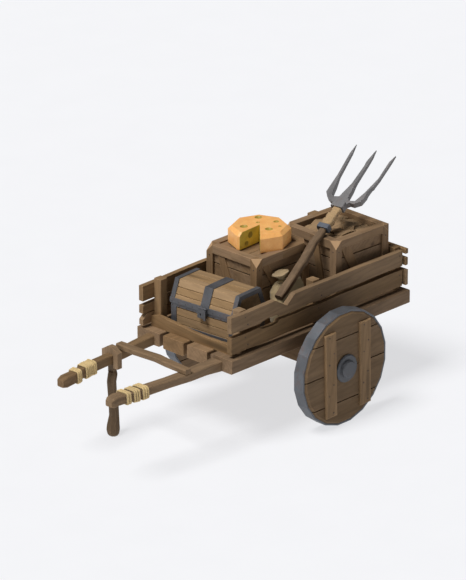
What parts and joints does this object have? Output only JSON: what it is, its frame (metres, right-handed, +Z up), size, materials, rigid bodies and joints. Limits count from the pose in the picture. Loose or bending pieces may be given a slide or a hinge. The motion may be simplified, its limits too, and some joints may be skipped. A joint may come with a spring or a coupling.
{
  "type": "two-wheeled wooden hand cart with load",
  "caption": "Wooden hand cart with disc wheels, board sides, shafts and prop leg, carrying an opening chest, crates, a cut cheese, a sack and a pitchfork.",
  "frame": {"origin": "on the ground, at the centre of the bounding box seen from above", "axes": "+X forwards, towards the ends of the shafts; +Y to the left of the cart; +Z up"},
  "size_m": [2.2406, 1.146, 1.2559],
  "materials": {
    "bed_wood": "worn",
    "under_wood": "worn",
    "axle_iron": "forged",
    "tyre_iron": "forged, worn on the tread",
    "wheel_wood": "worn",
    "hub_iron": "forged",
    "side_wood": "worn",
    "shaft_wood": "worn",
    "rope": "coarse",
    "chest_wood": "oiled",
    "chest_iron": "forged",
    "crate_wood": "rough",
    "crate_contents": "rough",
    "cheese": "waxy",
    "fork_iron": "forged",
    "fork_wood": "worn",
    "fork_cloth": "coarse",
    "sackcloth": "coarse",
    "sack_cord": "coarse"
  },
  "bodies": {
    "cart": {"axle_bar": "axle_iron", "axle_bolster": "under_wood", "axle_retainers": "axle_iron", "axle_straps": "axle_iron", "bed_plank_far": "bed_wood", "bed_plank_mid_far": "bed_wood", "bed_plank_mid_near": "bed_wood", "bed_plank_near": "bed_wood", "binding_near": "rope", "bindings_far": "rope", "chest_box_boards": "chest_wood", "chest_box_irons": "chest_iron", "chest_hinges": "chest_iron", "chest_lock": "chest_iron", "crate_1_boards": "crate_wood", "crate_1_braces": "crate_wood", "crate_1_frame": "crate_wood", "crate_2_boards": "crate_wood", "crate_2_braces": "crate_wood", "crate_2_fill": "crate_contents", "crate_2_frame": "crate_wood", "cross_bar": "shaft_wood", "cross_bar_pegs": "shaft_wood", "cross_bearers": "under_wood", "front_board": "side_wood", "grain_sack": "sackcloth", "leg_collar": "shaft_wood", "leg_pin": "axle_iron", "sack_tie": "sack_cord", "shaft_far": "shaft_wood", "shaft_near": "shaft_wood", "side_plank_far_lower": "side_wood", "side_plank_far_middle": "side_wood", "side_plank_far_upper": "side_wood", "side_plank_near_lower": "side_wood", "side_plank_near_upper": "side_wood", "stakes_far": "side_wood", "stakes_near": "side_wood", "tail_board_lower": "side_wood", "tail_board_middle": "side_wood", "tail_board_upper": "side_wood"},
    "left_wheel": {"left_wheel_tyre": "tyre_iron", "left_wheel_boards": "wheel_wood", "left_wheel_battens": "wheel_wood", "left_wheel_hub": "hub_iron", "left_wheel_cap": "hub_iron"},
    "right_wheel": {"right_wheel_tyre": "tyre_iron", "right_wheel_boards": "wheel_wood", "right_wheel_battens": "wheel_wood", "right_wheel_hub": "hub_iron", "right_wheel_cap": "hub_iron"},
    "prop_leg": {"prop_leg": "shaft_wood"},
    "chest_lid": {"chest_lid_boards": "chest_wood", "chest_lid_irons": "chest_iron"},
    "chest_hasp": {"chest_hasp": "chest_iron"},
    "cheese": {"cheese": "cheese"},
    "pitchfork": {"fork_handle": "fork_wood", "fork_ferrule": "fork_iron", "fork_binding": "fork_cloth", "fork_head": "fork_iron"}
  },
  "joints": [
    {"name": "left_wheel_spin", "type": "hinge", "parent": "cart", "child": "left_wheel", "pos_m": [-0.3432, 0.505, 0.326], "axis": [0, 1, 0], "continuous": true},
    {"name": "right_wheel_spin", "type": "hinge", "parent": "cart", "child": "right_wheel", "pos_m": [-0.3432, -0.505, 0.326], "axis": [0, 1, 0], "continuous": true},
    {"name": "prop_leg_fold", "type": "hinge", "parent": "cart", "child": "prop_leg", "pos_m": [0.6113, -0.285, 0.396], "axis": [0, 1, 0], "range_deg": [0, 70]},
    {"name": "chest_lid_open", "type": "hinge", "parent": "cart", "child": "chest_lid", "pos_m": [-0.04437, -0.00505, 0.68], "axis": [0.0837, -0.9965, 0], "range_deg": [0, 28]},
    {"name": "chest_hasp_lift", "type": "hinge", "parent": "chest_lid", "child": "chest_hasp", "pos_m": [0.24099, 0.03246, 0.7], "axis": [0.0837, -0.9965, 0], "range_deg": [0, 100]},
    {"name": "cheese_lift_off", "type": "slide", "parent": "cart", "child": "cheese", "axis": [0, 0, 1], "range_m": [0, 0.25]},
    {"name": "pitchfork_lift_off", "type": "slide", "parent": "cart", "child": "pitchfork", "axis": [0, 0, 1], "range_m": [0, 0.3]}
  ]
}
